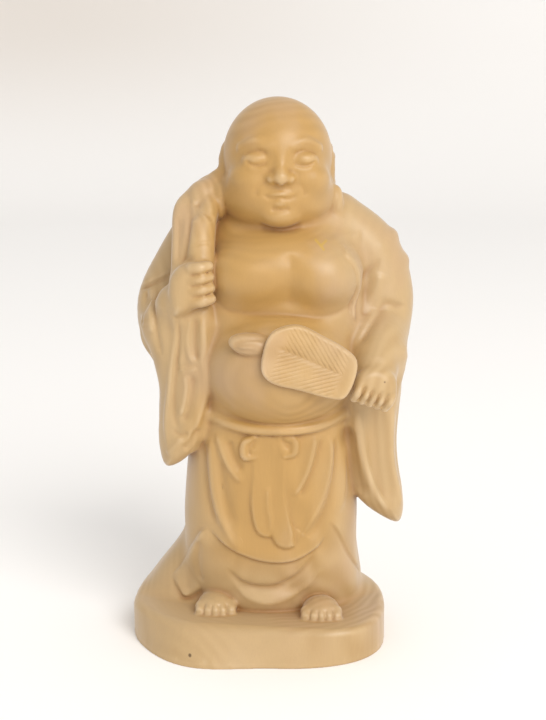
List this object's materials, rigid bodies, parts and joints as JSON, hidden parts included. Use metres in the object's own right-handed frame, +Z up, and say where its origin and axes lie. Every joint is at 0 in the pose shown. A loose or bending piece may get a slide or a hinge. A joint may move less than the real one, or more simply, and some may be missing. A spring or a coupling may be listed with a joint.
{
  "type": "carved figure",
  "caption": "Standing carved budai figure with a sack over the shoulder and a leaf-shaped fan, on its own ground base.",
  "frame": {"origin": "on the flat underside, under the axis of the standing figure", "axes": "+Z up to the crown, +X to the viewer's right, -Y to the front, where the face and the fan look"},
  "size_m": [0.0779, 0.0605, 0.1498],
  "materials": {
    "boxwood": "satin"
  },
  "bodies": {
    "root": {"budai_figure": "boxwood"}
  },
  "joints": []
}
